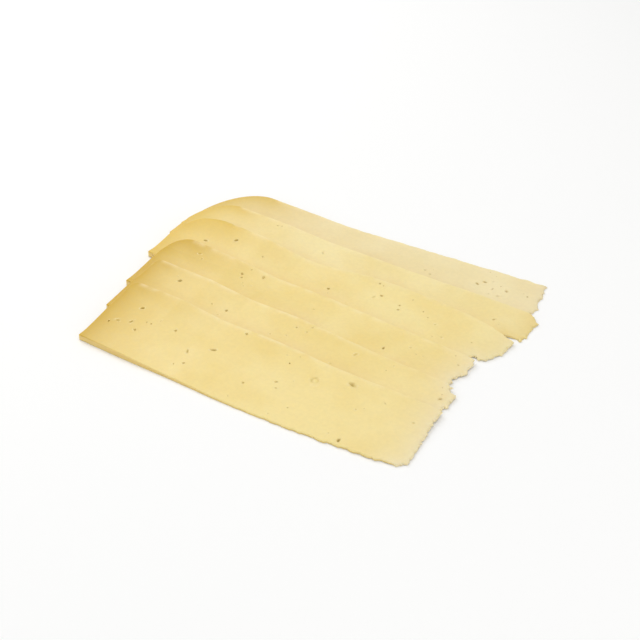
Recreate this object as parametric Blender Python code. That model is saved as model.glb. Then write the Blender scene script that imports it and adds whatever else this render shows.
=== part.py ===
"""Six thin slices of a hard yellow wheel cheese, fanned out over one another.

Every slice was cut from the same wedge of a wheel. Its left end is the rind side, cut clean and a
little thicker. Its right end is the crumbly middle of the wheel, where the slice tore off. The slice
at the back lies flat, and each next one lies over the near half of the one behind it, with its own
near edge down on the surface below. Each slice is one closed solid.

X runs along the slices from rind to torn end, Y from the near slice to the back one, Z up.
"""

import random
from dataclasses import dataclass

import bmesh
import bpy
import numpy as np
from mathutils import Vector, geometry

# Sizes and places below are in millimetres, and MM turns them into the scene's metres.
MM = 0.001

# Thickness of any slice at five places along it: thick towards the rind, thin at the torn end.
WEDGE_X = (-112.0, -60.0, -35.0, 5.0, 98.0)
WEDGE_THICKNESS = (3.6, 3.2, 2.0, 1.3, 1.0)

# Air kept between a slice and the one under it.
AIR_GAP = 0.35

# How much of a slice's lean onto the one below is eased in and out, from 0 for a straight lean to 1.
LEAN_EASE = 0.35

# Spacing of the points inside a slice, on lines that all the slices share: along it, along it near
# the torn end where it bends both ways, and across it.
GRID_START = (-117.0, -86.0)
GRID_ALONG = 9.0
GRID_TORN_FROM = 66.0
GRID_TORN = 4.5
GRID_ACROSS = 3.2
GRID_END = (101.0, 94.0)
EDGE_CLEARANCE = 1.6

# Spacing of the points on the cut edges, on the torn end and round a corner.
CUT_STEP = 7.0
TORN_STEP = 1.4
CORNER_POINTS = 7

# How deep crumbs broke out of the torn end, at most.
CRUMB_DEPTH = 0.9
SEED = 7

# Handle length of a cubic curve that stands in for a quarter of a circle.
QUARTER_HANDLE = 0.5523

# Points closer than this are one point when a slice is triangulated.
MERGE_DISTANCE = 1e-6

ROUGHNESS = 0.5


@dataclass(frozen=True)
class Slice:
    """One slice, by where its sides lie in the fan seen from above."""

    name: str
    # where the rind end lies along the fan, at its far corner and at its near one
    rind: tuple
    # how far the far corner at the rind end is rounded, along the slice and across it
    rounding: tuple
    # where the cut edges lie across the fan, at places spread evenly from the rind to the torn end
    far: tuple
    near: tuple
    # lobes and notches of the torn end, from the near corner to the far one
    torn: tuple
    # run over which the slices above lean up onto this one
    lean: float
    # sRGB colour of the curd
    colour: str


SLICES = (
    Slice(
        "slice_1",
        rind=(-91.0, -89.5),
        rounding=(5.0, 4.5),
        far=(-37.5, -36.5, -35.0, -32.5, -33.5, -32.5),
        near=(-83.5, -83.5, -83.0, -83.0, -81.5, -79.0),
        torn=(
            (94.0, -75.0), (98.0, -71.0), (97.0, -64.0), (95.5, -55.0),
            (94.5, -48.0), (92.5, -38.0), (92.0, -31.0),
        ),
        lean=24.0,
        colour="#F2DA9A",
    ),
    Slice(
        "slice_2",
        rind=(-95.5, -96.0),
        rounding=(4.0, 4.0),
        far=(-13.5, -13.0, -12.0, -10.0, -11.0, -12.0),
        near=(-55.5, -58.0),
        torn=(
            (82.0, -60.0), (84.0, -44.0), (91.5, -26.0), (90.5, -16.0),
            (86.0, -14.5), (86.5, -12.0), (84.0, -11.5),
        ),
        lean=24.0,
        colour="#F1DA9B",
    ),
    Slice(
        "slice_3",
        rind=(-102.5, -102.5),
        rounding=(13.0, 13.0),
        far=(12.0, 11.5, 12.5, 14.5, 14.0, 13.5),
        near=(-32.5, -34.0),
        torn=(
            (74.0, -36.0), (78.0, -22.0), (83.5, -8.0), (82.0, -5.5),
            (86.0, 2.5), (84.5, 6.0), (85.0, 10.0), (83.5, 13.5),
        ),
        lean=23.0,
        colour="#EFD997",
    ),
    Slice(
        "slice_4",
        rind=(-110.5, -111.5),
        rounding=(26.0, 25.0),
        far=(35.5, 35.5, 36.0, 43.0, 44.5, 43.0),
        near=(-4.0, -6.0),
        torn=(
            (70.0, -8.0), (75.0, 6.0), (81.0, 17.0), (84.0, 15.5),
            (87.5, 17.5), (92.0, 26.0), (92.0, 38.0),
        ),
        lean=25.0,
        colour="#F1DC98",
    ),
    Slice(
        "slice_5",
        rind=(-111.5, -114.5),
        rounding=(18.0, 28.5),
        far=(57.5, 58.0, 59.5, 61.5, 62.5, 64.0),
        near=(18.0, 22.0),
        torn=(
            (78.0, 26.0), (82.0, 38.0), (85.0, 41.0), (91.0, 42.5), (93.5, 41.0),
            (95.0, 46.0), (93.5, 51.0), (94.0, 60.5), (88.0, 64.5),
        ),
        lean=18.0,
        colour="#EEDCA6",
    ),
    Slice(
        "slice_6",
        rind=(-114.5, -116.0),
        rounding=(26.0, 41.0),
        far=(80.5, 80.5, 82.0, 85.0, 88.0, 90.5),
        near=(30.0, 37.0),
        torn=(
            (78.0, 43.0), (80.0, 56.0), (87.0, 67.5), (87.5, 72.0),
            (84.0, 77.5), (84.5, 82.0), (81.5, 93.0),
        ),
        lean=13.0,
        colour="#EFDFAE",
    ),
)


def slice_thickness(x):
    """Thickness of any slice at these places along it."""
    return np.interp(x, WEDGE_X, WEDGE_THICKNESS)


def curve_through(points, step):
    """Points about one step apart on a smooth curve through the given ones."""
    points = [np.array(p) for p in points]
    ends = [2 * points[0] - points[1]] + points + [2 * points[-1] - points[-2]]
    found = []
    for before, start, end, after in zip(ends, ends[1:], ends[2:], ends[3:]):
        slope = end - before
        bend = 2 * before - 5 * start + 4 * end - after
        twist = 3 * start - before - 3 * end + after
        count = max(1, round(np.linalg.norm(end - start) / step))
        for t in np.arange(count) / count:
            found.append(start + (slope * t + bend * t**2 + twist * t**3) / 2)
    return found + [points[-1]]


def torn_line(points, draw):
    """The torn end: straight stretches between lobes and notches, with crumbs broken out of them."""
    points = [np.array(p) for p in points]
    found = []
    for start, end in zip(points, points[1:]):
        run = end - start
        length = np.linalg.norm(run)
        inward = np.array([-run[1], run[0]]) / length
        count = max(1, round(length / TORN_STEP))
        for i in range(count):
            depth = CRUMB_DEPTH * draw.random() ** 2 if i else 0.0
            found.append(start + run * i / count + inward * depth)
    return found + [points[-1]]


def rounded_corner(start, corner, end):
    """The points between start and end on a quarter turn inside the corner."""
    start, corner, end = Vector(start), Vector(corner), Vector(end)
    out = start.lerp(corner, QUARTER_HANDLE)
    back = end.lerp(corner, QUARTER_HANDLE)
    return [np.array(p) for p in geometry.interpolate_bezier(start, out, back, end, CORNER_POINTS)[1:-1]]


def cut_edge(start, end, places):
    """A cut edge's points: its places across, spread evenly from x at the start to the end point."""
    along = np.linspace(start, end[0], len(places) + 1)
    return curve_through([*zip(along, places), end], CUT_STEP)


def outline_of(piece, draw):
    """The slice's outline seen from above, counter-clockwise."""
    rind_far, rind_near = piece.rind
    turn_x, turn_y = piece.rounding
    near = cut_edge(rind_near, piece.torn[0], piece.near)
    torn = torn_line(piece.torn, draw)
    far = cut_edge(rind_far + turn_x, piece.torn[-1], piece.far)[::-1]
    turned = (rind_far, piece.far[0] - turn_y)
    arc = rounded_corner(far[-1], (rind_far, piece.far[0]), turned)
    rind = curve_through([turned, (rind_near, piece.near[0])], CUT_STEP)
    return np.array(near[:-1] + torn[:-1] + far + arc + rind[:-1])


def inside(points, outline):
    """Whether each point lies inside the outline, by the number of sides to its right."""
    x, y = points[:, :1], points[:, 1:]
    x1, y1 = outline.T
    x2, y2 = np.roll(outline, -1, axis=0).T
    crosses = (y1 > y) != (y2 > y)
    with np.errstate(divide="ignore", invalid="ignore"):
        to_right = x < (x2 - x1) * (y - y1) / (y2 - y1) + x1
    return (crosses & to_right).sum(1) % 2 == 1


def distance_to_line(points, outline):
    """How far each point lies from the outline's line."""
    sides = np.roll(outline, -1, axis=0) - outline
    offset = points[:, None] - outline[None]
    share = np.clip((offset * sides).sum(2) / (sides**2).sum(1), 0, 1)
    return np.linalg.norm(offset - share[..., None] * sides, axis=2).min(1)


def underside(points, lower):
    """Height of a slice's underside, which leans up onto each slice below, given as outline and run."""
    height = np.zeros(len(points))
    for outline, run in lower:
        outside = np.where(inside(points, outline), 0.0, distance_to_line(points, outline))
        share = 1 - np.clip(outside / run, 0, 1)
        eased = share**2 * (3 - 2 * share)
        height += (slice_thickness(points[:, 0]) + AIR_GAP) * (share + LEAN_EASE * (eased - share))
    return height


def grid_inside(outline):
    """The shared grid's points that lie in the outline and clear of its line."""
    coarse = np.arange(GRID_START[0], GRID_TORN_FROM, GRID_ALONG)
    fine = np.arange(GRID_TORN_FROM, GRID_END[0], GRID_TORN)
    across = np.arange(GRID_START[1], GRID_END[1], GRID_ACROSS)
    points = np.array([(x, y) for x in (*coarse, *fine) for y in across])
    points = points[inside(points, outline)]
    return points[distance_to_line(points, outline) > EDGE_CLEARANCE]


def fan_centre(outlines):
    """Middle of the fan seen from above."""
    points = np.vstack(outlines)
    return (points.min(0) + points.max(0)) / 2


def linear_colour(code):
    """An sRGB colour code as linear red, green, blue and alpha."""
    channels = [int(code[i : i + 2], 16) / 255 for i in (1, 3, 5)]
    return [c / 12.92 if c <= 0.04045 else ((c + 0.055) / 1.055) ** 2.4 for c in channels] + [1.0]


def curd_material(piece):
    """Smooth, slightly waxy pressed curd."""
    material = bpy.data.materials.new(piece.name + "_curd")
    material.use_nodes = True
    shader = material.node_tree.nodes["Principled BSDF"]
    shader.inputs["Base Color"].default_value = linear_colour(piece.colour)
    shader.inputs["Roughness"].default_value = ROUGHNESS
    shader.inputs["Metallic"].default_value = 0.0
    material.diffuse_color = linear_colour(piece.colour)
    return material


def slice_mesh(name, outline, lower, middle):
    """The slice's draped underside as a triangulated sheet, pulled straight up by its thickness."""
    points = np.vstack([outline, grid_inside(outline)])
    rim = list(range(len(outline)))
    placed, _, triangles, *_ = geometry.delaunay_2d_cdt(
        [Vector(p) for p in points], [], [rim], 1, MERGE_DISTANCE
    )
    flat = np.array([tuple(p) for p in placed])

    bm = bmesh.new()
    thickness = bm.verts.layers.float.new("thickness")
    sheet = []
    for (x, y), z, up in zip(flat - middle, underside(flat, lower), slice_thickness(flat[:, 0])):
        vertex = bm.verts.new((x * MM, y * MM, z * MM))
        vertex[thickness] = up * MM
        sheet.append(vertex)
    for triangle in triangles:
        bm.faces.new([sheet[i] for i in triangle])
    lifted = bmesh.ops.extrude_face_region(bm, geom=bm.faces[:], use_keep_orig=True)
    for item in lifted["geom"]:
        if isinstance(item, bmesh.types.BMVert):
            item.co.z += item[thickness]
    bmesh.ops.recalc_face_normals(bm, faces=bm.faces[:])
    mesh = bpy.data.meshes.new(name)
    bm.to_mesh(mesh)
    bm.free()
    return mesh


def build():
    """Clears the scene and makes the fan of slices, each its own object."""
    for old in list(bpy.data.objects):
        bpy.data.objects.remove(old)
    collection = bpy.data.collections.new("roumy_cheese")
    bpy.context.scene.collection.children.link(collection)
    fan = bpy.data.objects.new("fan", None)
    collection.objects.link(fan)

    draw = random.Random(SEED)
    outlines = [outline_of(piece, draw) for piece in SLICES]
    centre = fan_centre(outlines)
    for i, piece in enumerate(SLICES):
        middle = (outlines[i].min(0) + outlines[i].max(0)) / 2
        lower = [(outline, below.lean) for outline, below in zip(outlines[i + 1 :], SLICES[i + 1 :])]
        mesh = slice_mesh(piece.name, outlines[i], lower, middle)
        mesh.materials.append(curd_material(piece))
        body = bpy.data.objects.new(piece.name, mesh)
        x, y = (middle - centre) * MM
        body.location = (x, y, 0.0)
        body.parent = fan
        collection.objects.link(body)


build()
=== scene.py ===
"""A fan of six thin slices of a hard yellow wheel cheese, dressed for a close look.

The slices lie over one another like roof tiles, the front one on top. Each keeps the outline, the
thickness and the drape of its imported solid, and gains what a knife and a crumbling curd leave: fine
teeth along the torn end, softly rounded cut edges, small eyes laid open by the cut and a waxy curd.

Lengths are in millimetres in the cheese's plan, seen from above, and MM turns them into metres.
"""

import logging
import math
import random
from dataclasses import dataclass, field
from enum import Enum

import bpy
import numpy as np
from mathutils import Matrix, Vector, geometry, noise


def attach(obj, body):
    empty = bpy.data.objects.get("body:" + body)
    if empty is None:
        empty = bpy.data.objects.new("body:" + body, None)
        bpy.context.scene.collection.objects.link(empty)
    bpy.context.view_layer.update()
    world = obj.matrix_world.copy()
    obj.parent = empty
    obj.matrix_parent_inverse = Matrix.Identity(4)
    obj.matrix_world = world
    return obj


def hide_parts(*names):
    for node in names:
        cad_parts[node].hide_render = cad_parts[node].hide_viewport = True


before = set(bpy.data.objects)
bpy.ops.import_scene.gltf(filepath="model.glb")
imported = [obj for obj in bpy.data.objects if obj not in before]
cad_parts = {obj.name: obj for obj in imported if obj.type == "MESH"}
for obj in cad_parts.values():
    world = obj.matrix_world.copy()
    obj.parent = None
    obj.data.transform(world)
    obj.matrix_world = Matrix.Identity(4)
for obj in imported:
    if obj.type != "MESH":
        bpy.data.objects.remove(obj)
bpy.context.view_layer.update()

LOG = logging.getLogger("cheese")

MM = 0.001

# The drape and the crumbs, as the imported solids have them.
WEDGE_X = (-112.0, -60.0, -35.0, 5.0, 98.0)
WEDGE_THICKNESS = (3.6, 3.2, 2.0, 1.3, 1.0)
AIR_GAP = 0.35
LEAN_EASE = 0.35
CUT_STEP = 7.0
TORN_STEP = 1.4
CORNER_POINTS = 7
CRUMB_DEPTH = 0.9
SEED = 7

# The dressing draws its own numbers, one series for the eyes and one for the teeth of each slice.
EYES_SEED = 27
TEETH_SEED = 30

# A cut edge's steps take their noise from one of this many fields, and its crumbs from one further on.
NOISE_FIELDS = 50
CRUMB_FIELD = 9

# Each slice's relief, in noise fields, and its patterns, in metres, lie this far from the one before.
RELIEF_SHIFT = 3.7
PATTERN_SHIFT = 0.37

# Handle length of a cubic curve that stands in for a quarter of a circle.
QUARTER_HANDLE = 0.5523

# Small eyes stay this clear of a slice's edge and of the slice above, and of one another. Some lie in
# loose groups, each within a short way of the one before.
EYE_CLEARANCE = 2.5
EYE_SPACING = 1.2
EYE_TRIES = 400
GROUP_SHARE = 0.3
GROUP_REACH = 5.5

# A small eye's least width, how much wider it may be and how much longer than wide, and between which
# turns, in degrees, and round which one its length lies.
EYE_SMALLEST = 0.6
EYE_SPREAD = 0.9
EYE_STRETCH = 1.4
EYE_TURNS = (-55, 125, 35)

# Distances from an eye's middle, where 1 is on its outline: its form is uneven up to the first, the
# surface is plain from the second on, and a neighbour's mesh points may stand from the third on.
EYE_UNEVEN_TO = 2
EYE_PLAIN_FROM = 1.6
EYE_NEIGHBOUR_FROM = 1.55

# An eye's form is uneven by this share, in hills of this share of its length.
EYE_UNEVEN = 0.45
EYE_HILLS = 0.5

# Rings of mesh points round an eye's middle: how far out each lies and how many points it has.
EYE_RINGS = ((0.3, 6), (0.55, 14), (0.75, 14), (0.9, 14), (1.05, 14), (1.25, 14), (1.5, 14))

# Where the parts of an eye's section stand out from its middle and how wide they are: its raised rim,
# the painted shade at its bottom, the ring of a crater and the painted highlight just outside the rim.
RIM_RIDGE = (1.15, 0.16)
DARK_RIDGE = (0.0, 0.85)
CRATER_RIDGE = (0.7, 0.28)
EYE_HIGHLIGHT_RIDGE = (1.3, 0.22)

# How round the bottom of an eye's bowl is, and the most of the slice's thickness that it takes.
BOWL_POWER = 1.3
DEEPEST_SHARE = 0.6

# A crater, which is shallow, has this share of the painted highlight round another eye's rim.
CRATER_HIGHLIGHT = 0.4

# Points are compared with an outline this many at a time, to spare memory.
BATCH = 2000

# The mesh's inner points stand in rows this far apart, for points one apart in a row. Points nearer
# than the second value, in millimetres, count as one. A triangle whose area is under half of the third,
# in square millimetres, is a sliver between points in line.
ROW_PITCH = math.sqrt(0.75)
SAME_POINT = 1e-6
SLIVER = 1e-5

# The curd's tints, painted shade and painted highlights, in the order in which they are laid over one
# another. Each has a mask on the mesh.
TINTS = ("painted_shadow", "rind", "crumb", "side", "skin", "painted_eye_shade")

Point = tuple[float, float]
Line = list[np.ndarray]
Colour = tuple[float, float, float, float]


class EyeForm(Enum):
    """How an eye lies open on the cut face: its depth for its width, the darkness of its painted shade and
    its raised rim.
    """

    DEEP = (0.6, 0.9, 0.05)
    OPEN = (0.4, 0.6, 0.05)
    DENT = (0.2, 0.32, 0.03)
    RIMMED = (0.5, 0.75, 0.14)
    CRATER = (0.1, 0.4, 0.05)

    @property
    def depth_share(self) -> float:
        """Depth as a share of the width."""
        return self.value[0]

    @property
    def darkness(self) -> float:
        """How dark the painted shade at its bottom is, from 0 to 1."""
        return self.value[1]

    @property
    def rim(self) -> float:
        """Height of its raised rim, in millimetres."""
        return self.value[2]


DEEP, OPEN, DENT, RIMMED, CRATER = EyeForm

# Forms of the small eyes, and their weights in the draw.
SMALL_FORMS = (DEEP, OPEN, DENT)
SMALL_FORM_WEIGHTS = (2, 4, 5)


def linear(code: str) -> Colour:
    """Turns an sRGB colour linear.

    Args:
        code: the colour in hex.

    Returns:
        Linear red, green, blue and alpha.
    """
    channels = [int(code[i : i + 2], 16) / 255 for i in (1, 3, 5)]
    red, green, blue = [c / 12.92 if c <= 0.04045 else ((c + 0.055) / 1.055) ** 2.4 for c in channels]
    return red, green, blue, 1.0


def per_metre(size: float) -> float:
    """The scale of a pattern, in the scene's metres, whose marks are this many millimetres."""
    return 1 / (size * MM)


def add_node(
    tree: bpy.types.NodeTree, kind: str, settings: dict | None = None, links: dict | None = None
) -> bpy.types.Node:
    """Adds a node to a material's tree.

    Args:
        tree: the node tree.
        kind: Blender's name of the kind of node.
        settings: values by the name of a property or, where the node has no such property, of a socket.
        links: output sockets by the name or number of the input that each one feeds.

    Returns:
        The new node.
    """
    node = tree.nodes.new(kind)
    for name, value in (settings or {}).items():
        if isinstance(name, str) and hasattr(node, name):
            setattr(node, name, value)
        else:
            node.inputs[name].default_value = value
    for name, source in (links or {}).items():
        tree.links.new(source, node.inputs[name])
    return node


def slice_thickness(x: np.ndarray) -> np.ndarray:
    """Thickness of any slice at these places along it: a wedge, thick at the rind end."""
    return np.interp(x, WEDGE_X, WEDGE_THICKNESS)


def curve_through(points: tuple[Point, ...], step: float) -> Line:
    """Points on a smooth curve through the given ones.

    Args:
        points: two or more plan points.
        step: about how far apart the new points lie.

    Returns:
        The new points, the given ones among them.
    """
    points = [np.array(p) for p in points]
    ends = [2 * points[0] - points[1]] + points + [2 * points[-1] - points[-2]]
    found = []
    for before, start, end, after in zip(ends, ends[1:], ends[2:], ends[3:]):
        slope = end - before
        bend = 2 * before - 5 * start + 4 * end - after
        twist = 3 * start - before - 3 * end + after
        count = max(1, round(float(np.linalg.norm(end - start)) / step))
        for t in np.arange(count) / count:
            found.append(start + (slope * t + bend * t**2 + twist * t**3) / 2)
    return found + [points[-1]]


def torn_line(points: tuple[Point, ...], draw: random.Random) -> Line:
    """The torn end: straight stretches between lobes and notches, with crumbs broken out of them.

    Args:
        points: the lobes and notches, in order.
        draw: gives each crumb's depth.

    Returns:
        The torn line's points.
    """
    points = [np.array(p) for p in points]
    found = []
    for start, end in zip(points, points[1:]):
        run = end - start
        length = float(np.linalg.norm(run))
        inward = np.array([-run[1], run[0]]) / length
        count = max(1, round(length / TORN_STEP))
        for i in range(count):
            depth = CRUMB_DEPTH * draw.random() ** 2 if i else 0.0
            found.append(start + run * i / count + inward * depth)
    return found + [points[-1]]


def rounded_corner(start: Point, corner: Point, end: Point, count: int) -> Line:
    """The points between start and end on a quarter turn inside the corner.

    Args:
        start: where the turn begins.
        corner: the corner that it rounds.
        end: where the turn ends.
        count: number of points, with start and end.

    Returns:
        The points without start and end.
    """
    start, corner, end = Vector(start), Vector(corner), Vector(end)
    out = start.lerp(corner, QUARTER_HANDLE)
    back = end.lerp(corner, QUARTER_HANDLE)
    return [np.array(p) for p in geometry.interpolate_bezier(start, out, back, end, count)[1:-1]]


def cut_edge(start: float, end: Point, places: tuple[float, ...], step: float) -> Line:
    """A cut edge's points.

    Args:
        start: where along the slice it starts.
        end: the point at which it meets the torn end.
        places: how far across it lies, at places spread evenly from the start on.
        step: about how far apart the points lie.

    Returns:
        The points from the rind end to the torn one.
    """
    along = np.linspace(start, end[0], len(places) + 1)
    return curve_through((*zip(along, places), end), step)


def inside(points: np.ndarray, outline: np.ndarray) -> np.ndarray:
    """Tells which points lie inside an outline, by the number of sides to the right of each.

    Args:
        points: rows of x and y.
        outline: the outline's points.

    Returns:
        True or false for each point.
    """
    x1, y1 = outline.T
    x2, y2 = np.roll(outline, -1, axis=0).T
    found = np.zeros(len(points), bool)
    for first in range(0, len(points), BATCH):
        x, y = points[first : first + BATCH, :1], points[first : first + BATCH, 1:]
        crosses = (y1 > y) != (y2 > y)
        with np.errstate(divide="ignore", invalid="ignore"):
            to_right = x < (x2 - x1) * (y - y1) / (y2 - y1) + x1
        found[first : first + BATCH] = (crosses & to_right).sum(1) % 2 == 1
    return found


def distance_to_line(points: np.ndarray, outline: np.ndarray) -> np.ndarray:
    """How far each point lies from the closed line through the outline's points.

    Args:
        points: rows of x and y.
        outline: the outline's points.

    Returns:
        One distance for each point.
    """
    sides = np.roll(outline, -1, axis=0) - outline
    found = np.zeros(len(points))
    for first in range(0, len(points), BATCH):
        offset = points[first : first + BATCH, None] - outline[None]
        share = np.clip((offset * sides).sum(2) / (sides**2).sum(1), 0, 1)
        gap = offset - share[..., None] * sides
        found[first : first + BATCH] = np.sqrt((gap**2).sum(2).min(1))
    return found


def distance_to_points(points: np.ndarray, line: np.ndarray) -> np.ndarray:
    """How far each point lies from the nearest of the line's own points.

    Args:
        points: rows of x and y.
        line: the line's points.

    Returns:
        One distance for each point.
    """
    found = np.zeros(len(points))
    for first in range(0, len(points), BATCH):
        gap = points[first : first + BATCH, None] - line[None]
        found[first : first + BATCH] = np.sqrt((gap**2).sum(2).min(1))
    return found


def outward_ways(rim: np.ndarray, span: int) -> np.ndarray:
    """The way out of the outline at each of its points, from the points this many places off."""
    ahead = np.roll(rim, -span, axis=0) - np.roll(rim, span, axis=0)
    return np.column_stack([ahead[:, 1], -ahead[:, 0]]) / np.linalg.norm(ahead, axis=1)[:, None]


def ridge(reach: np.ndarray, middle: float, width: float) -> np.ndarray:
    """A smooth ridge across distances: 1 at its middle, fading over its width."""
    return np.exp(-(((reach - middle) / width) ** 2))


def wander(points: np.ndarray, size: float, seed: float) -> np.ndarray:
    """Smooth noise between about -1 and 1 at plan points.

    Args:
        points: rows of x and y.
        size: about how wide its hills are.
        seed: picks one noise field of many.

    Returns:
        One number for each point.
    """
    return np.array([noise.noise(Vector((x / size, y / size, seed))) for x, y in points])


@dataclass(frozen=True)
class Patches:
    """Uneven strength: smooth noise that swings round a middle, held between a least and a most."""

    size: float
    middle: float
    swing: float
    least: float
    most: float

    def at(self, points: np.ndarray, seed: float, scale: float = 1.0) -> np.ndarray:
        """The strength at plan points.

        Args:
            points: rows of x and y.
            seed: picks one noise field of many.
            scale: makes the patches larger.

        Returns:
            One number for each point.
        """
        hills = wander(points, self.size * scale, seed)
        return np.clip(self.middle + self.swing * hills, self.least, self.most)


# Patches along a crater's ring and of the painted highlight outside an eye's rim, in shares of the eye's
# length.
CRATER_PATCHES = Patches(0.5, 0.55, 1.4, 0.15, 1.0)
EYE_HIGHLIGHT_PATCHES = Patches(0.45, 0.3, 1.2, 0.0, 0.8)

# Patches of the painted highlight on the far rim and of the painted shadow beside the slice above, in
# millimetres, and the noise field of each.
PAINTED_HIGHLIGHT_PATCHES = Patches(6.0, 0.4, 0.8, 0.1, 0.65)
PAINTED_SHADOW_PATCHES = Patches(17.0, 0.7, 0.8, 0.2, 1.0)
PAINTED_HIGHLIGHT_FIELD = 5.0
PAINTED_SHADOW_FIELD = 2.0


@dataclass(frozen=True)
class Eye:
    """A small hole in the curd that the cut laid open.

    Its middle and its sizes are in the plan. The length lies at a turn, in degrees, from +X.
    """

    x: float
    y: float
    width: float
    length: float
    turn: float
    form: EyeForm

    def reach(self, points: np.ndarray) -> np.ndarray:
        """How far each point lies from the middle, where 1 is on the eye's own outline.

        Args:
            points: rows of x and y.

        Returns:
            One number for each point.
        """
        angle = math.radians(self.turn)
        offset = points - (self.x, self.y)
        along = offset @ (math.cos(angle), math.sin(angle)) / (self.length / 2)
        across = offset @ (-math.sin(angle), math.cos(angle)) / (self.width / 2)
        found = np.hypot(along, across)
        near = found < EYE_UNEVEN_TO
        found[near] *= 1 + EYE_UNEVEN * wander(points[near], EYE_HILLS * self.length, self.x)
        return found

    def rings(self) -> np.ndarray:
        """Places points on rings round the middle, close enough to carry the eye's form.

        Returns:
            Rows of x and y.
        """
        angle = math.radians(self.turn)
        found = [(0.0, 0.0)]
        for share, count in EYE_RINGS:
            for i in range(count):
                way = 2 * math.pi * (i + share) / count
                found.append((share * math.cos(way), share * math.sin(way)))
        along, across = np.array(found).T * ((self.length / 2,), (self.width / 2,))
        x = along * math.cos(angle) - across * math.sin(angle) + self.x
        y = along * math.sin(angle) + across * math.cos(angle) + self.y
        return np.column_stack([x, y])


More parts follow.
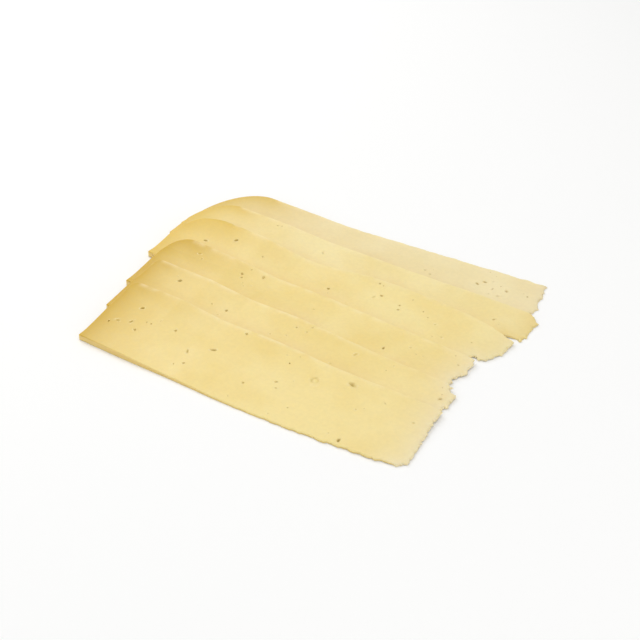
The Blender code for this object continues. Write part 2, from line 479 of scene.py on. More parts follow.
@dataclass(frozen=True)
class PressedCurd:
    """Hard cheese curd, pressed in a wheel, ripened and sliced with a wide knife.

    Fat makes its cut face smooth, matt and slightly waxy, and light goes a little way in, so that thin
    edges look light. It ripens from the rind inwards, which turns it a deeper, more orange yellow there.
    """

    name: str
    pale: str = "#F4DE99"
    deep: str = "#EFD689"
    rind: str = "#CFA828"
    crumb: str = "#F3E2B6"
    # painted shade on the cut sides that face across the slice, which get less light
    side: str = "#EACB7C"
    # painted shadow on the slice beside the far edge of the slice above
    painted_shadow: str = "#E9CE97"
    # painted highlight on the far rims, on the eyes' rims and on the end sides
    skin: str = "#FAE7B4"
    # painted shade in the eyes, where little light would get out of a deep hole
    painted_eye_shade: str = "#A58A2C"
    roughness: float = 0.5
    roughness_swing: float = 0.07
    ior: float = 1.46
    # share of the light that goes into the curd, how far, in millimetres, and how far red, green and blue
    # light go of that
    glow_share: float = 0.35
    glow: float = 1.6
    glow_by_colour: tuple[float, float, float] = (1.0, 0.88, 0.62)
    # sizes of the cloudy ripening, of the knit curd grains and of the knife's drag marks, in millimetres
    cloud: float = 34.0
    grain: float = 1.9
    drag: float = 0.8
    drag_stretch: float = 0.03
    # how high the grains and the drag marks stand, in millimetres
    grain_height: float = 0.05
    drag_height: float = 0.03

    def material(self, shift: float) -> bpy.types.Material:
        """The curd as a material.

        Args:
            shift: moves the patterns, in metres, so that no two slices look alike.

        Returns:
            The new material.
        """
        material = bpy.data.materials.new(self.name)
        material.use_nodes = True
        material.diffuse_color = linear(self.pale)
        tree = material.node_tree
        shader = tree.nodes["Principled BSDF"]
        shader.inputs["Metallic"].default_value = 0.0
        shader.inputs["IOR"].default_value = self.ior
        shader.inputs["Subsurface Weight"].default_value = self.glow_share
        shader.inputs["Subsurface Radius"].default_value = self.glow_by_colour
        shader.inputs["Subsurface Scale"].default_value = self.glow * MM

        place = add_node(tree, "ShaderNodeTexCoord")
        moved = add_node(
            tree, "ShaderNodeMapping", {"Location": (shift, shift * 0.7, shift * 1.3)},
            {"Vector": place.outputs["Object"]},
        )
        dragged = add_node(
            tree, "ShaderNodeMapping", {"Scale": (self.drag_stretch, 1.0, 1.0)},
            {"Vector": moved.outputs["Vector"]},
        )
        clouds = add_node(
            tree, "ShaderNodeTexNoise", {"Scale": per_metre(self.cloud), "Detail": 3.0},
            {"Vector": moved.outputs["Vector"]},
        )
        grains = add_node(
            tree, "ShaderNodeTexNoise", {"Scale": per_metre(self.grain), "Detail": 2.0, "Roughness": 0.6},
            {"Vector": moved.outputs["Vector"]},
        )
        marks = add_node(
            tree, "ShaderNodeTexNoise", {"Scale": per_metre(self.drag), "Detail": 1.0},
            {"Vector": dragged.outputs["Vector"]},
        )
        colour = self._colour(tree, clouds, grains)
        tree.links.new(colour, shader.inputs["Base Color"])
        self._surface(tree, shader, grains, marks)
        return material

    def _colour(
        self, tree: bpy.types.NodeTree, clouds: bpy.types.Node, grains: bpy.types.Node
    ) -> bpy.types.NodeSocket:
        """The curd's colour: cloudy, deeper at the rind and paler at the crumbly end, with painted shade on
        the cut sides, beside the slice above and in the eyes, and painted highlights on the rims and end
        sides.

        Args:
            tree: the material's tree.
            clouds: wide noise.
            grains: fine noise.

        Returns:
            The socket that gives the colour.
        """
        cloudy = add_node(
            tree, "ShaderNodeMapRange", {"From Min": 0.38, "From Max": 0.62},
            {"Value": clouds.outputs["Fac"]},
        )
        colour = add_node(
            tree, "ShaderNodeMix", {"data_type": "RGBA", 6: linear(self.pale), 7: linear(self.deep)},
            {0: cloudy.outputs["Result"]},
        )
        for name in TINTS:
            mask = add_node(tree, "ShaderNodeAttribute", {"attribute_name": name})
            colour = add_node(
                tree, "ShaderNodeMix", {"data_type": "RGBA", 7: linear(getattr(self, name))},
                {0: mask.outputs["Fac"], 6: colour.outputs[2]},
            )
        light = add_node(
            tree, "ShaderNodeMapRange",
            {"From Min": 0.3, "From Max": 0.7, "To Min": 0.975, "To Max": 1.02},
            {"Value": grains.outputs["Fac"]},
        )
        return add_node(
            tree, "ShaderNodeVectorMath", {"operation": "MULTIPLY"},
            {0: colour.outputs[2], 1: light.outputs["Result"]},
        ).outputs["Vector"]

    def _surface(
        self, tree: bpy.types.NodeTree, shader: bpy.types.Node, grains: bpy.types.Node, marks: bpy.types.Node
    ) -> None:
        """Sets the sheen and the fine relief.

        Args:
            tree: the material's tree.
            shader: the shader that takes them.
            grains: noise of the curd grains, which stand out a few hundredths of a millimetre.
            marks: noise drawn out along the cut, for the knife's drag marks.
        """
        smooth, rough = self.roughness - self.roughness_swing, self.roughness + self.roughness_swing
        sheen = add_node(
            tree, "ShaderNodeMapRange",
            {"From Min": 0.3, "From Max": 0.7, "To Min": smooth, "To Max": rough},
            {"Value": grains.outputs["Fac"]},
        )
        tree.links.new(sheen.outputs["Result"], shader.inputs["Roughness"])
        relief = add_node(
            tree, "ShaderNodeBump", {"Strength": 0.35, "Distance": self.grain_height * MM},
            {"Height": grains.outputs["Fac"]},
        )
        drawn = add_node(
            tree, "ShaderNodeBump", {"Strength": 0.3, "Distance": self.drag_height * MM},
            {"Height": marks.outputs["Fac"], "Normal": relief.outputs["Normal"]},
        )
        tree.links.new(drawn.outputs["Normal"], shader.inputs["Normal"])


@dataclass(frozen=True)
class MattPaper:
    """Heavy matt paper, rolled out as the floor: near white, with a faint tooth."""

    name: str = "matt_paper"
    colour: str = "#FCFCFB"
    roughness: float = 0.9
    # size and height of the tooth, in millimetres
    tooth: float = 0.6
    tooth_height: float = 0.02

    def material(self) -> bpy.types.Material:
        """The paper as a material.

        Returns:
            The new material.
        """
        material = bpy.data.materials.new(self.name)
        material.use_nodes = True
        tree = material.node_tree
        shader = tree.nodes["Principled BSDF"]
        shader.inputs["Base Color"].default_value = linear(self.colour)
        shader.inputs["Roughness"].default_value = self.roughness
        place = add_node(tree, "ShaderNodeTexCoord")
        tooth = add_node(
            tree, "ShaderNodeTexNoise", {"Scale": per_metre(self.tooth)}, {"Vector": place.outputs["Object"]}
        )
        relief = add_node(
            tree, "ShaderNodeBump", {"Strength": 0.1, "Distance": self.tooth_height * MM},
            {"Height": tooth.outputs["Fac"]},
        )
        tree.links.new(relief.outputs["Normal"], shader.inputs["Normal"])
        return material


@dataclass
class CheeseSlice:
    """One slice: where its sides lie in the plan, its eyes and its finish."""

    name: str
    # where the rind end lies along the fan, at its far corner and at its near one
    rind: tuple[float, float]
    # how far the far corner at the rind end is rounded, along the slice and across it
    rounding: tuple[float, float]
    # where the cut edges lie across the fan, at places spread evenly from the rind to the torn end
    far: tuple[float, ...]
    near: tuple[float, ...]
    # lobes and notches of the torn end, from the near corner to the far one
    torn: tuple[Point, ...]
    # run over which the slices above lean up onto this one
    lean: float
    finish: PressedCurd
    # eyes that stand out, and how many small ones are strewn round them
    eyes: tuple[Eye, ...] = ()
    small_eyes: int = 0
    # spacing of the fine outline on cut and torn sides, and of the points inside it
    edge_step: float = 0.8
    tooth_step: float = 0.32
    grid_step: float = 0.8
    # the lower face's points lie this many times as far apart, and this clear of the outline
    base_coarser: int = 3
    base_clear: float = 1.2
    # how far fine teeth stand off the torn line, by which share of their spacing they shift along it, and
    # how deep and how often a crumb is bitten out of it
    tooth_depth: float = 0.26
    tooth_shift: float = 0.3
    bite: float = 0.45
    bite_share: float = 0.15
    # how far the near and far cut edges step in and out next to the torn end, between which places along
    # the slice that comes about, and the share of it that they have before
    near_ragged: float = 0.5
    far_ragged: float = 0.2
    ragged_from: float = 0.0
    ragged_to: float = 70.0
    calm_share: float = 0.1
    # how wide those steps are and how sharply they turn, and the crumbs on them: width and share of depth
    step_width: float = 4.5
    step_sharpness: float = 5.0
    crumb_width: float = 1.3
    crumb_share: float = 0.7
    # radius of the soft edge that the knife leaves, and the rings of points that carry it, in radii from
    # the outline; a point stays if it lies off the outline by most of its ring's depth
    edge_radius: float = 0.45
    edge_rings: tuple[float, ...] = (0.2, 0.55, 1.0, 1.7)
    ring_kept: float = 0.85
    # how clear of the outline an eye's points and the points inside lie, in radii of the soft edge
    eye_clear: float = 2.0
    grid_clear: float = 2.2
    # how far the torn end thins out, and over which run
    fringe: float = 0.35
    fringe_run: float = 2.2
    # depth and width of the upper face's low waves
    waves: tuple[tuple[float, float], ...] = ((0.07, 13.0), (0.03, 4.0))
    # how far the soft slice settles onto the one below, once it is lifted by the second of these
    settle: float = 0.25
    settle_run: float = 0.8
    # rings of points down the sides, in shares of their height, and the size of the crumbs there, along
    # the side and upwards
    wall_rings: tuple[float, ...] = (0.8, 0.55, 0.3, 0.1)
    wall_crumb: tuple[float, float] = (0.7, 0.5)
    # how far those stand out on a cut side, how much more on a torn one, and their strength at the foot
    wall_relief: float = 0.04
    torn_relief: float = 0.3
    foot_strength: float = 1.2
    # the sides meet the faces in a sharp edge where they turn by more than this, in degrees
    sharp_angle: float = 62.0
    # reach into the slice of the rind's colour, of the dry crumbly colour and of the painted highlight on
    # the far rim
    rind_reach: float = 16.0
    crumb_reach: float = 9.0
    painted_highlight_reach: float = 2.0
    # how far the painted shadow reaches from the far edge of the slice above
    painted_shadow_reach: float = 4.5
    # strength of that painted shadow and of the painted highlight on the far rim, each between two places
    # along the slice, and how strongly the end sides, which lie in shade, are painted pale as if lit
    painted_shadow_run: tuple[float, float] = (0.0, 80.0)
    painted_shadow_strength: tuple[float, float] = (0.75, 0.35)
    painted_highlight_run: tuple[float, float] = (0.0, 85.0)
    painted_highlight_strength: tuple[float, float] = (1.0, 0.4)
    # painted light on the end sides, which lie in shade
    end_painted_light: float = 0.9
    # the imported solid's outline and its torn line, once the slice is laid out
    coarse: np.ndarray = field(default_factory=lambda: np.zeros((0, 2)))
    teeth: Line = field(default_factory=list)

    @property
    def number(self) -> int:
        """The slice's place in the fan, counted from the front."""
        return int(self.name[-1])

    def lay_out(self, draw: random.Random) -> None:
        """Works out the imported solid's own outline and its torn line.

        Args:
            draw: gives the crumbs' depths, in the order in which the solids drew them.
        """
        self.teeth = torn_line(self.torn, draw)
        near, far, arc, rind = self.cut_sides(CUT_STEP, CORNER_POINTS)
        self.coarse = np.array(near[:-1] + self.teeth[:-1] + far[::-1] + arc + rind[:-1])

    def cut_sides(self, step: float, corner_points: int) -> tuple[Line, Line, Line, Line]:
        """The sides that the knife cut.

        Args:
            step: about how far apart the points lie.
            corner_points: how many points the rounded corner has.

        Returns:
            The near and the far edge from the rind end on, the corner from the far edge on, and the rind
            end from there to the near edge.
        """
        rind_far, rind_near = self.rind
        turn_x, turn_y = self.rounding
        near = cut_edge(rind_near, self.torn[0], self.near, step)
        far = cut_edge(rind_far + turn_x, self.torn[-1], self.far, step)
        turned = (rind_far, self.far[0] - turn_y)
        arc = rounded_corner(far[0], (rind_far, self.far[0]), turned, corner_points)
        rind = curve_through((turned, (rind_near, self.near[0])), step)
        return near, far, arc, rind

    def fine_outline(self, draw: random.Random) -> tuple[np.ndarray, np.ndarray]:
        """The outline with fine teeth on the torn end and ragged cut edges next to it.

        Args:
            draw: moves the teeth.

        Returns:
            The outline's points, and for each how torn the side is there, from 0 to 1.
        """
        corner_points = round(sum(self.rounding) / self.edge_step) + 2
        near, far, arc, rind = self.cut_sides(self.edge_step, corner_points)
        near = self._ragged(near, self.near_ragged, draw)
        far = self._ragged(far, self.far_ragged, draw)[::-1]
        torn = self._fine_teeth(draw)
        parts = [near[:-1], torn[:-1], far, arc, rind[:-1]]
        tear = [np.full(len(p), 1.0 if p is parts[1] else 0.0) for p in parts]
        return np.array([p for part in parts for p in part]), np.concatenate(tear)

    def _ragged(self, line: Line, depth: float, draw: random.Random) -> Line:
        """Makes a cut edge step in and out, more so the nearer it is to the torn end.

        Args:
            line: the edge's points, smooth.
            depth: how far it steps at the torn end.
            draw: picks the noise.

        Returns:
            The same edge with its inner points moved.
        """
        points = np.array(line)
        share = np.interp(points[:, 0], (self.ragged_from, self.ragged_to), (self.calm_share, 1.0))
        seed = draw.uniform(0, NOISE_FIELDS)
        steps = np.tanh(self.step_sharpness * wander(points, self.step_width, seed))
        steps += self.crumb_share * wander(points, self.crumb_width, seed + CRUMB_FIELD)
        steps[[0, -1]] = 0
        points[:, 1] += depth * share * steps
        return list(points)

    def _fine_teeth(self, draw: random.Random) -> Line:
        """The torn line with crumb-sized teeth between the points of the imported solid's line.

        Args:
            draw: moves each tooth.

        Returns:
            The torn end's fine line.
        """
        found = []
        for start, end in zip(self.teeth, self.teeth[1:]):
            run = end - start
            length = float(np.linalg.norm(run))
            side = np.array([run[1], -run[0]]) / length
            count = max(2, round(length / self.tooth_step))
            for i in range(count):
                out = self.tooth_depth * draw.uniform(-1, 1)
                out -= self.bite if draw.random() < self.bite_share else 0.0
                along = draw.uniform(-self.tooth_shift, self.tooth_shift)
                moved = run * (i + along) / count + side * out if i else 0.0
                found.append(start + moved)
        return found + [self.teeth[-1]]

    def strew_eyes(self, above: list["CheeseSlice"], draw: random.Random) -> None:
        """Adds small eyes at random where the slice shows, clear of its edges and of one another.

        Args:
            above: the slices that lie on this one.
            draw: gives each eye's place, size and form.
        """
        low, high = self.coarse.min(0), self.coarse.max(0)
        wanted = len(self.eyes) + self.small_eyes
        for _ in range(EYE_TRIES):
            if len(self.eyes) == wanted:
                break
            spot = np.array([[draw.uniform(low[0], high[0]), draw.uniform(low[1], high[1])]])
            if self.eyes and draw.random() < GROUP_SHARE:
                last = self.eyes[-1]
                reach = (draw.uniform(-GROUP_REACH, GROUP_REACH), draw.uniform(-GROUP_REACH, GROUP_REACH))
                spot = np.array([[last.x + reach[0], last.y + reach[1]]])
            width = EYE_SMALLEST + EYE_SPREAD * draw.random() ** 2
            length = width * (1 + EYE_STRETCH * draw.random() ** 2)
            turn = draw.triangular(*EYE_TURNS)
            form = draw.choices(SMALL_FORMS, SMALL_FORM_WEIGHTS)[0]
            apart = [math.dist(spot[0], (eye.x, eye.y)) - (eye.length + length) / 2 for eye in self.eyes]
            edges = [distance_to_line(spot, one.coarse)[0] for one in (self, *above)]
            hidden = any(inside(spot, one.coarse)[0] for one in above)
            clear = min(apart, default=math.inf) > EYE_SPACING and min(edges) > EYE_CLEARANCE
            if clear and not hidden and inside(spot, self.coarse)[0]:
                x, y = map(float, spot[0])
                self.eyes += (Eye(x, y, width, length, turn, form),)

    def settled(self, points: np.ndarray, lower: list["CheeseSlice"]) -> np.ndarray:
        """Height of the underside, which leans up onto each slice below it.

        Args:
            points: rows of x and y.
            lower: the slices below.

        Returns:
            One height for each point.
        """
        height = np.zeros(len(points))
        for other in lower:
            outside = np.where(inside(points, other.coarse), 0.0, distance_to_line(points, other.coarse))
            share = 1 - np.clip(outside / other.lean, 0, 1)
            eased = share**2 * (3 - 2 * share)
            height += (slice_thickness(points[:, 0]) + AIR_GAP) * (share + LEAN_EASE * (eased - share))
        return height

    def sheet(
        self, rim: np.ndarray, step: float, extra: np.ndarray, clear: float
    ) -> tuple[np.ndarray, np.ndarray, list[int]]:
        """Triangulates the slice's plan.

        Args:
            rim: the outline's points.
            step: spacing of the points inside.
            extra: more points, which have to lie inside.
            clear: how far inside points stay from the outline.

        Returns:
            The sheet's points, its triangles, and for each point of the rim its place among the points.
        """
        low, high = rim.min(0), rim.max(0)
        rows = np.arange(low[1], high[1], step * ROW_PITCH)
        columns = np.arange(low[0], high[0], step)
        grid = np.array([(x + step / 2 * (j % 2), y) for j, y in enumerate(rows) for x in columns])
        grid = grid[inside(grid, rim)]
        grid = grid[distance_to_line(grid, rim) > clear]
        for eye in self.eyes if len(extra) else ():
            grid = grid[eye.reach(grid) > EYE_PLAIN_FROM]
        points = np.vstack([rim, extra, grid]) if len(extra) else np.vstack([rim, grid])
        placed, _, triangles, origins, *_ = geometry.delaunay_2d_cdt(
            [Vector(p) for p in points], [], [list(range(len(rim)))], 1, SAME_POINT, True
        )
        if len(placed) != len(points):
            LOG.warning("%s: %d points became %d", self.name, len(points), len(placed))
        placed = np.array([tuple(p) for p in placed])
        triangles = np.array(triangles)
        # the triangulation also fills the bays of a ragged outline, which aren't curd
        a, b, c = (placed[triangles[:, k]] for k in range(3))
        (along, across), (far_along, far_across) = (b - a).T, (c - a).T
        solid = np.abs(along * far_across - across * far_along) > SLIVER
        triangles = triangles[solid & inside((a + b + c) / 3, rim)]
        where = {old: new for new, olds in enumerate(origins) for old in olds}
        return placed, triangles, [where[i] for i in range(len(rim))]

    def edge_and_eye_points(self, rim: np.ndarray) -> np.ndarray:
        """Places points inside the outline that carry the soft edge and the eyes.

        Args:
            rim: the outline's points.

        Returns:
            Rows of x and y.
        """
        outward = outward_ways(rim, span=2)
        found = []
        for share in self.edge_rings:
            depth = share * self.edge_radius
            ring = rim - outward * depth
            ring = ring[inside(ring, rim)]
            found.append(ring[distance_to_line(ring, rim) > self.ring_kept * depth])
        for i, eye in enumerate(self.eyes):
            ring = eye.rings()
            ring = ring[inside(ring, rim)]
            ring = ring[distance_to_line(ring, rim) > self.eye_clear * self.edge_radius]
            for other in self.eyes[:i]:
                ring = ring[other.reach(ring) > EYE_NEIGHBOUR_FROM]
            found.append(ring)
        return np.vstack(found)

    def carve(self, points: np.ndarray, thick: np.ndarray) -> tuple[np.ndarray, np.ndarray, np.ndarray]:
        """Depth of the eyes at these points, the painted shade in them and the painted highlight on their
        rims.

        Args:
            points: rows of x and y.
            thick: the slice's thickness there.

        Returns:
            How far each point sinks, how dark the painted shade makes it and how pale the painted highlight
            makes it, the last two from 0 to 1.
        """
        sink, dark, pale = np.zeros((3, len(points)))
        for eye in self.eyes:
            reach = eye.reach(points)
            near = reach < EYE_PLAIN_FROM
            reach, spots = reach[near], points[near]
            deep = np.minimum(eye.form.depth_share * eye.width, DEEPEST_SHARE * thick[near])
            bowl = np.clip(1 - reach**2, 0, 1) ** BOWL_POWER
            # painted shade at the eye's bottom
            shade = ridge(reach, *DARK_RIDGE)
            # crumbs: a painted highlight, in patches, on a ring just outside the rim
            crumbs = EYE_HIGHLIGHT_PATCHES.at(spots, eye.y, eye.length)
            if eye.form is EyeForm.CRATER:
                bowl = ridge(reach, *CRATER_RIDGE) * CRATER_PATCHES.at(spots, eye.y, eye.length)
                shade = bowl
                crumbs *= CRATER_HIGHLIGHT
            sink[near] = np.maximum(sink[near], deep * bowl) - eye.form.rim * ridge(reach, *RIM_RIDGE)
            dark[near] = np.maximum(dark[near], eye.form.darkness * shade)
            pale[near] = np.maximum(pale[near], ridge(reach, *EYE_HIGHLIGHT_RIDGE) * crumbs)
        return sink, dark, pale

    def heights(
        self, points: np.ndarray, rim: np.ndarray, tear: np.ndarray, lower: list["CheeseSlice"]
    ) -> tuple[np.ndarray, np.ndarray, np.ndarray]:
        """Height of the upper face, and how dark the painted shade in its eyes and how pale the painted
        highlight on their rims make it.

        Args:
            points: rows of x and y.
            rim: the outline's points.
            tear: how torn the side is at each of them.
            lower: the slices below.

        Returns:
            One height, one darkness and one paleness for each point.
        """
        thick = slice_thickness(points[:, 0])
        gap = np.clip(distance_to_line(points, rim), 0, self.edge_radius)
        rounding = self.edge_radius - np.sqrt(self.edge_radius**2 - (self.edge_radius - gap) ** 2)
        from_torn = np.clip(distance_to_points(points, rim[tear > 0]) / self.fringe_run, 0, 1)
        rounding += self.fringe * (1 - from_torn) ** 2
        seed = RELIEF_SHIFT * self.number
        relief = sum(depth * wander(points, width, seed + i) for i, (depth, width) in enumerate(self.waves))
        sink, dark, pale = self.carve(points, thick)
        return self.settled(points, lower) + thick + relief - rounding - sink, dark, pale

    def build(
        self, above: list["CheeseSlice"], lower: list["CheeseSlice"], centre: np.ndarray, draw: random.Random
    ) -> bpy.types.Object:
        """Makes the slice's closed mesh with its finish.

        Args:
            above: the slices that lie on this one.
            lower: the slices below.
            centre: the middle of the fan's plan, which becomes the frame's origin.
            draw: moves the fine teeth.

        Returns:
            The slice as an object, in place.
        """
        rim, tear = self.fine_outline(draw)
        extra = self.edge_and_eye_points(rim)
        top, top_faces, top_rim = self.sheet(rim, self.grid_step, extra, self.grid_clear * self.edge_radius)
        base_step = self.base_coarser * self.grid_step
        base, base_faces, base_rim = self.sheet(rim, base_step, extra[:0], self.base_clear)
        top_z, dark, pale = self.heights(top, rim, tear, lower)
        lift = self.settled(base, lower)
        base_z = lift - self.settle * np.clip(lift / self.settle_run, 0, 1)

        wall, wall_faces, facing = self._wall(top, top_z, top_rim, base, base_z, base_rim, tear)
        plan = np.vstack([top, base, wall[:, :2]])
        z = np.concatenate([top_z, base_z, wall[:, 2]])
        faces = top_faces.tolist() + (base_faces[:, ::-1] + len(top)).tolist() + wall_faces
        mesh = bpy.data.meshes.new(self.name + "_curd")
        mesh.from_pydata((np.column_stack([plan - centre, z]) * MM).tolist(), [], faces)
        # The masks carry painted shade and painted highlights as well as the curd's own tints.
        masks = self._masks(plan, dark, pale, facing * (1 - tear), above)
        for name in TINTS:
            values = masks[name].astype(np.float32)
            mesh.attributes.new(name, "FLOAT", "POINT").data.foreach_set("value", values)
        mesh.shade_smooth()
        mesh.set_sharp_from_angle(angle=math.radians(self.sharp_angle))
        mesh.materials.append(self.finish.material(PATTERN_SHIFT * self.number))
        body = bpy.data.objects.new(self.name + "_curd", mesh)
        bpy.context.scene.collection.objects.link(body)
        return body

    def _masks(
        self, plan: np.ndarray, dark: np.ndarray, pale: np.ndarray, golden: np.ndarray,
        above: list["CheeseSlice"],
    ) -> dict[str, np.ndarray]:
        """How strong each of the curd's tints, painted shade and painted highlights is at each vertex.

        Args:
            plan: plan points of the upper face, the lower face and the sides.
            dark: how dark the painted shade in the eyes makes each point of the upper face.
            pale: how pale the painted highlight on the eyes' rims makes it.
            golden: how strongly the painted shade lies on the side at each of the outline's points: the
                sides that the knife cut along the slice get it, golden, and its ends a painted pale light
                instead.
            above: the slices that lie on this one.

        Returns:
            One number from 0 to 1 for each vertex, by the tint's name.
        """
        top = plan[: len(dark)]
        golden = np.tile(golden, len(self.wall_rings))
        base = np.zeros(len(plan) - len(top) - len(golden))
        _, far, arc, rind = self.cut_sides(self.edge_step, 2 * CORNER_POINTS)
        # Painted highlight along the far rim, where the rounded edge catches the light, in patches and
        # fading towards the torn end.
        skin = ridge(distance_to_points(top, np.array(far)), 0.0, self.painted_highlight_reach)
        skin *= PAINTED_HIGHLIGHT_PATCHES.at(top, PAINTED_HIGHLIGHT_FIELD)
        skin *= np.interp(top[:, 0], self.painted_highlight_run, self.painted_highlight_strength)
        rind_line = np.array(far[:1] + arc + rind)
        return {
            "painted_shadow": self._painted_shadow(plan, above),
            "rind": np.exp(-distance_to_points(plan, rind_line) / self.rind_reach),
            "crumb": np.exp(-distance_to_points(plan, np.array(self.teeth)) / self.crumb_reach),
            # Painted shade on the sides that face across the slice, and painted light on the end sides, the
            # far rim and the eyes' rims.
            "side": np.concatenate([np.zeros(len(top)), base, golden]),
            "skin": np.concatenate([np.maximum(skin, pale), base, self.end_painted_light * (1 - golden)]),
            "painted_eye_shade": np.concatenate([dark, np.zeros(len(plan) - len(dark))]),
        }

    def _wall(
        self, top: np.ndarray, top_z: np.ndarray, top_rim: list[int],
        base: np.ndarray, base_z: np.ndarray, base_rim: list[int], tear: np.ndarray,
    ) -> tuple[np.ndarray, list[tuple[int, ...]], np.ndarray]:
        """The sides between the two faces, clean where the knife cut and crumbly where the slice tore.

        Args:
            top: plan points of the upper face.
            top_z: their heights.
            top_rim: the outline's points among them.
            base: plan points of the lower face.
            base_z: their heights.
            base_rim: the outline's points among them.
            tear: how torn the side is at each of the outline's points.

        Returns:
            The points between the two faces, with their heights, the faces of the sides, and for each of
            the outline's points how squarely the side there faces across the slice, from 0 to 1.
        """
        rim = top[top_rim]
        high, low = top_z[top_rim], base_z[base_rim]
        outward = outward_ways(rim, span=3)
        wide, tall = self.wall_crumb
        rings = [np.array(top_rim)]
        points = []
        for level in self.wall_rings:
            z = low + (high - low) * level
            crumbs = [noise.noise(Vector((x / wide, y / wide, h / tall))) for (x, y), h in zip(rim, z)]
            out = np.array(crumbs) * (self.wall_relief + self.torn_relief * tear)
            out *= self.foot_strength - level
            rings.append(np.arange(len(rim)) + len(top) + len(base) + len(points) * len(rim))
            points.append(np.column_stack([rim + outward * out[:, None], z]))
        rings.append(np.array(base_rim) + len(top))
        faces = []
        for upper, under in zip(rings, rings[1:]):
            for i in range(len(rim)):
                j = (i + 1) % len(rim)
                faces.append((int(upper[i]), int(under[i]), int(under[j]), int(upper[j])))
        return np.vstack(points), faces, np.abs(outward[:, 1])

    def _painted_shadow(self, points: np.ndarray, above: list["CheeseSlice"]) -> np.ndarray:
        """How strong the painted shadow is at each point, from 0 to 1: it lies in a strip beside the far
        edge of the slice above.

        Args:
            points: rows of x and y.
            above: the slices that lie on this one.

        Returns:
            One number for each point.
        """
        found = np.zeros(len(points))
        for other in above[-1:]:
            line = np.array(other.cut_sides(self.edge_step, CORNER_POINTS)[1])
            found = np.interp(points[:, 0], self.painted_shadow_run, self.painted_shadow_strength)
            found *= np.exp(-distance_to_points(points, line) / self.painted_shadow_reach)
            found *= PAINTED_SHADOW_PATCHES.at(points, PAINTED_SHADOW_FIELD)
        return found


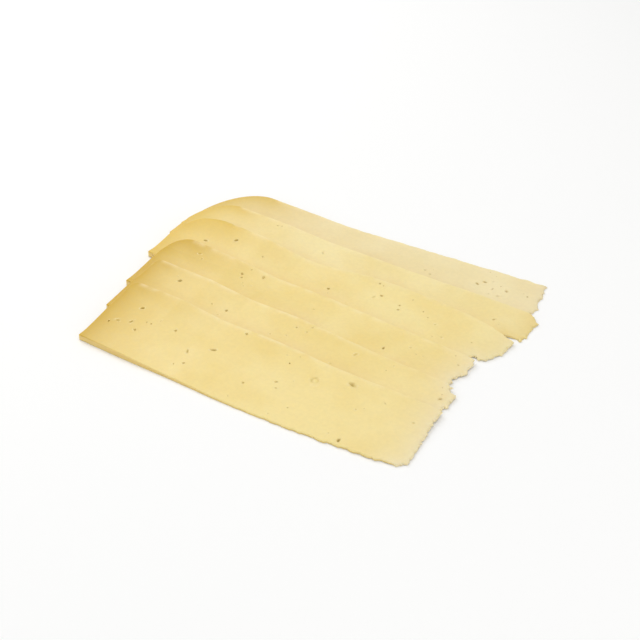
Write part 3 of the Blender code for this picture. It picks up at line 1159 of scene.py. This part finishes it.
@dataclass
class SliceFan:
    """The six slices, front one first, as they were laid out."""

    slices: tuple[CheeseSlice, ...] = (
        CheeseSlice(
            "slice_1",
            rind=(-91.0, -89.5),
            rounding=(5.0, 4.5),
            far=(-37.5, -36.5, -35.0, -32.5, -33.5, -32.5),
            near=(-83.5, -83.5, -83.0, -83.0, -81.5, -79.0),
            torn=(
                (94.0, -75.0), (98.0, -71.0), (97.0, -64.0), (95.5, -55.0),
                (94.5, -48.0), (92.5, -38.0), (92.0, -31.0),
            ),
            lean=24.0,
            finish=PressedCurd("pressed_curd_1"),
            eyes=(
                Eye(-35.0, -64.0, 1.0, 3.4, 122.0, OPEN),
                Eye(-74.0, -52.0, 1.4, 2.2, 35.0, DEEP),
                Eye(-83.0, -68.0, 1.1, 1.3, 120.0, DEEP),
                Eye(47.0, -40.0, 2.6, 4.2, -12.0, RIMMED),
                Eye(30.0, -47.0, 4.0, 5.4, 125.0, CRATER),
            ),
            small_eyes=27,
        ),
        CheeseSlice(
            "slice_2",
            rind=(-95.5, -96.0),
            rounding=(4.0, 4.0),
            far=(-13.5, -13.0, -12.0, -10.0, -11.0, -12.0),
            near=(-55.5, -58.0),
            torn=(
                (82.0, -60.0), (84.0, -44.0), (91.5, -26.0), (90.5, -16.0),
                (86.0, -14.5), (86.5, -12.0), (84.0, -11.5),
            ),
            lean=24.0,
            finish=PressedCurd("pressed_curd_2"),
            eyes=(Eye(-74.0, -22.0, 1.4, 2.4, 30.0, DEEP),),
            small_eyes=16,
        ),
        CheeseSlice(
            "slice_3",
            rind=(-102.5, -102.5),
            rounding=(13.0, 13.0),
            far=(12.0, 11.5, 12.5, 14.5, 14.0, 13.5),
            near=(-32.5, -34.0),
            torn=(
                (74.0, -36.0), (78.0, -22.0), (83.5, -8.0), (82.0, -5.5),
                (86.0, 2.5), (84.5, 6.0), (85.0, 10.0), (83.5, 13.5),
            ),
            lean=23.0,
            finish=PressedCurd("pressed_curd_3"),
            eyes=(
                Eye(-53.0, 4.0, 1.3, 1.7, 20.0, DEEP),
                Eye(42.0, -5.0, 1.2, 2.6, 100.0, DEEP),
            ),
            small_eyes=14,
        ),
        CheeseSlice(
            "slice_4",
            rind=(-110.5, -111.5),
            rounding=(26.0, 25.0),
            far=(35.5, 35.5, 36.0, 43.0, 44.5, 43.0),
            near=(-4.0, -6.0),
            torn=(
                (70.0, -8.0), (75.0, 6.0), (81.0, 17.0), (84.0, 15.5),
                (87.5, 17.5), (92.0, 26.0), (92.0, 38.0),
            ),
            lean=25.0,
            finish=PressedCurd(
                "pressed_curd_4", pale="#F4E09E", deep="#F1D990", rind="#E1BE52", crumb="#F0DFAC"
            ),
            eyes=(Eye(-10.0, 22.0, 1.5, 1.7, 0.0, DEEP),),
            small_eyes=17,
        ),
        CheeseSlice(
            "slice_5",
            rind=(-111.5, -114.5),
            rounding=(18.0, 28.5),
            far=(57.5, 58.0, 59.5, 61.5, 62.5, 64.0),
            near=(18.0, 22.0),
            torn=(
                (78.0, 26.0), (82.0, 38.0), (85.0, 41.0), (91.0, 42.5), (93.5, 41.0),
                (95.0, 46.0), (93.5, 51.0), (94.0, 60.5), (88.0, 64.5),
            ),
            lean=18.0,
            finish=PressedCurd(
                "pressed_curd_5", pale="#F7E5AB", deep="#F2DD9B", rind="#E1BF58", crumb="#EDD48F"
            ),
            small_eyes=5,
        ),
        CheeseSlice(
            "slice_6",
            rind=(-114.5, -116.0),
            rounding=(26.0, 41.0),
            far=(80.5, 80.5, 82.0, 85.0, 88.0, 90.5),
            near=(30.0, 37.0),
            torn=(
                (78.0, 43.0), (80.0, 56.0), (87.0, 67.5), (87.5, 72.0),
                (84.0, 77.5), (84.5, 82.0), (81.5, 93.0),
            ),
            lean=13.0,
            finish=PressedCurd(
                "pressed_curd_6", pale="#F4E3B3", deep="#F0DDA8", rind="#DDBC5A", crumb="#F1DEB1"
            ),
            far_ragged=0.4,
            ragged_from=-90.0,
            eyes=(Eye(50.0, 74.0, 1.1, 2.4, -25.0, DEEP),),
            small_eyes=14,
        ),
    )

    def lay_out(self) -> None:
        """Works out every slice's outline, then strews its small eyes."""
        draw = random.Random(SEED)
        for one in self.slices:
            one.lay_out(draw)
        for i, one in enumerate(self.slices):
            one.strew_eyes(list(self.slices[:i]), random.Random(EYES_SEED + i))

    def centre(self) -> np.ndarray:
        """Middle of the fan's plan, once it is laid out."""
        corners = np.vstack([one.coarse for one in self.slices])
        return (corners.min(0) + corners.max(0)) / 2

    def build(self) -> None:
        """Makes each slice in its place and says what it stands for."""
        centre = self.centre()
        for i, one in enumerate(self.slices):
            above, lower = list(self.slices[:i]), list(self.slices[i + 1 :])
            body = one.build(above, lower, centre, random.Random(TEETH_SEED + i))
            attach(body, "root")
            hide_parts(one.name)
            LOG.info("%s: %d faces, %d eyes", body.name, len(body.data.polygons), len(one.eyes))


@dataclass(frozen=True)
class Lamp:
    """A softbox: where it hangs, how wide it is, in metres, and how strong, in watts."""

    name: str
    place: tuple[float, float, float]
    width: float
    power: float


@dataclass
class Studio:
    """A pale floor, soft lamps and the camera, which looks down at the fan at 35 degrees."""

    # the point of the floor that the camera looks at
    target: Vector
    # width of the floor and its gap under the slices, in metres
    floor_size: float = 6.0
    floor_gap: float = 0.1 * MM
    paper: MattPaper = MattPaper()
    # strength of the even light from all round
    sky: float = 0.475
    # the camera's lens and sensor width, in millimetres, and its place from the target, in metres
    lens: float = 85.0
    sensor: float = 36.0
    camera_offset: tuple[float, float, float] = (0.3641, -0.52, 0.4445)
    lamps: tuple[Lamp, ...] = (
        Lamp("window_left", (-0.9, 0.35, 0.75), 0.7, 5.2),
        Lamp("overhead", (0.2, 0.1, 1.4), 1.1, 5.3),
        Lamp("fill_front", (-0.35, -0.85, 0.55), 0.9, 1.6),
        Lamp("fill_right", (0.85, -0.25, 0.45), 0.8, 1.8),
    )

    def build(self) -> None:
        """Lays the floor, hangs the lamps and sets up the camera and the picture's colours."""
        self._floor()
        for lamp in self.lamps:
            self._hang(lamp)
        self._sky()
        self._camera()
        bpy.context.scene.view_settings.view_transform = "Standard"
        LOG.info("studio: %d lamps", len(self.lamps))

    def _floor(self) -> None:
        """Lays the paper just under the slices."""
        mesh = bpy.data.meshes.new("floor")
        half, z = self.floor_size / 2, -self.floor_gap
        corners = ((-half, -half, z), (half, -half, z), (half, half, z), (-half, half, z))
        mesh.from_pydata(corners, [], [(0, 1, 2, 3)])
        mesh.materials.append(self.paper.material())
        floor = bpy.data.objects.new("floor", mesh)
        bpy.context.scene.collection.objects.link(floor)

    def _hang(self, lamp: Lamp) -> None:
        """Hangs a softbox that points at the fan.

        Args:
            lamp: its place, size and strength.
        """
        data = bpy.data.lights.new(lamp.name, "AREA")
        data.size = lamp.width
        data.energy = lamp.power
        holder = bpy.data.objects.new(lamp.name, data)
        holder.location = lamp.place
        holder.rotation_euler = (-Vector(lamp.place)).to_track_quat("-Z", "Y").to_euler()
        bpy.context.scene.collection.objects.link(holder)

    def _sky(self) -> None:
        """Fills the shadows with even white light."""
        world = bpy.data.worlds.new("white_room")
        world.use_nodes = True
        background = world.node_tree.nodes["Background"]
        background.inputs["Color"].default_value = linear("#FFFFFF")
        background.inputs["Strength"].default_value = self.sky
        bpy.context.scene.world = world

    def _camera(self) -> None:
        """Puts up the camera."""
        data = bpy.data.cameras.new("camera")
        data.lens = self.lens
        data.sensor_width = self.sensor
        camera = bpy.data.objects.new("camera", data)
        camera.location = self.target + Vector(self.camera_offset)
        camera.rotation_euler = (-Vector(self.camera_offset)).to_track_quat("-Z", "Y").to_euler()
        bpy.context.scene.collection.objects.link(camera)
        bpy.context.scene.camera = camera


def main() -> None:
    """Builds the fan and the studio round it, and reports each piece."""
    logging.basicConfig(level=logging.INFO, format="%(message)s")
    fan = SliceFan()
    fan.lay_out()
    fan.build()
    x, y = -fan.centre() * MM
    Studio(target=Vector((x, y, 0.0))).build()


if __name__ == "__main__":
    main()
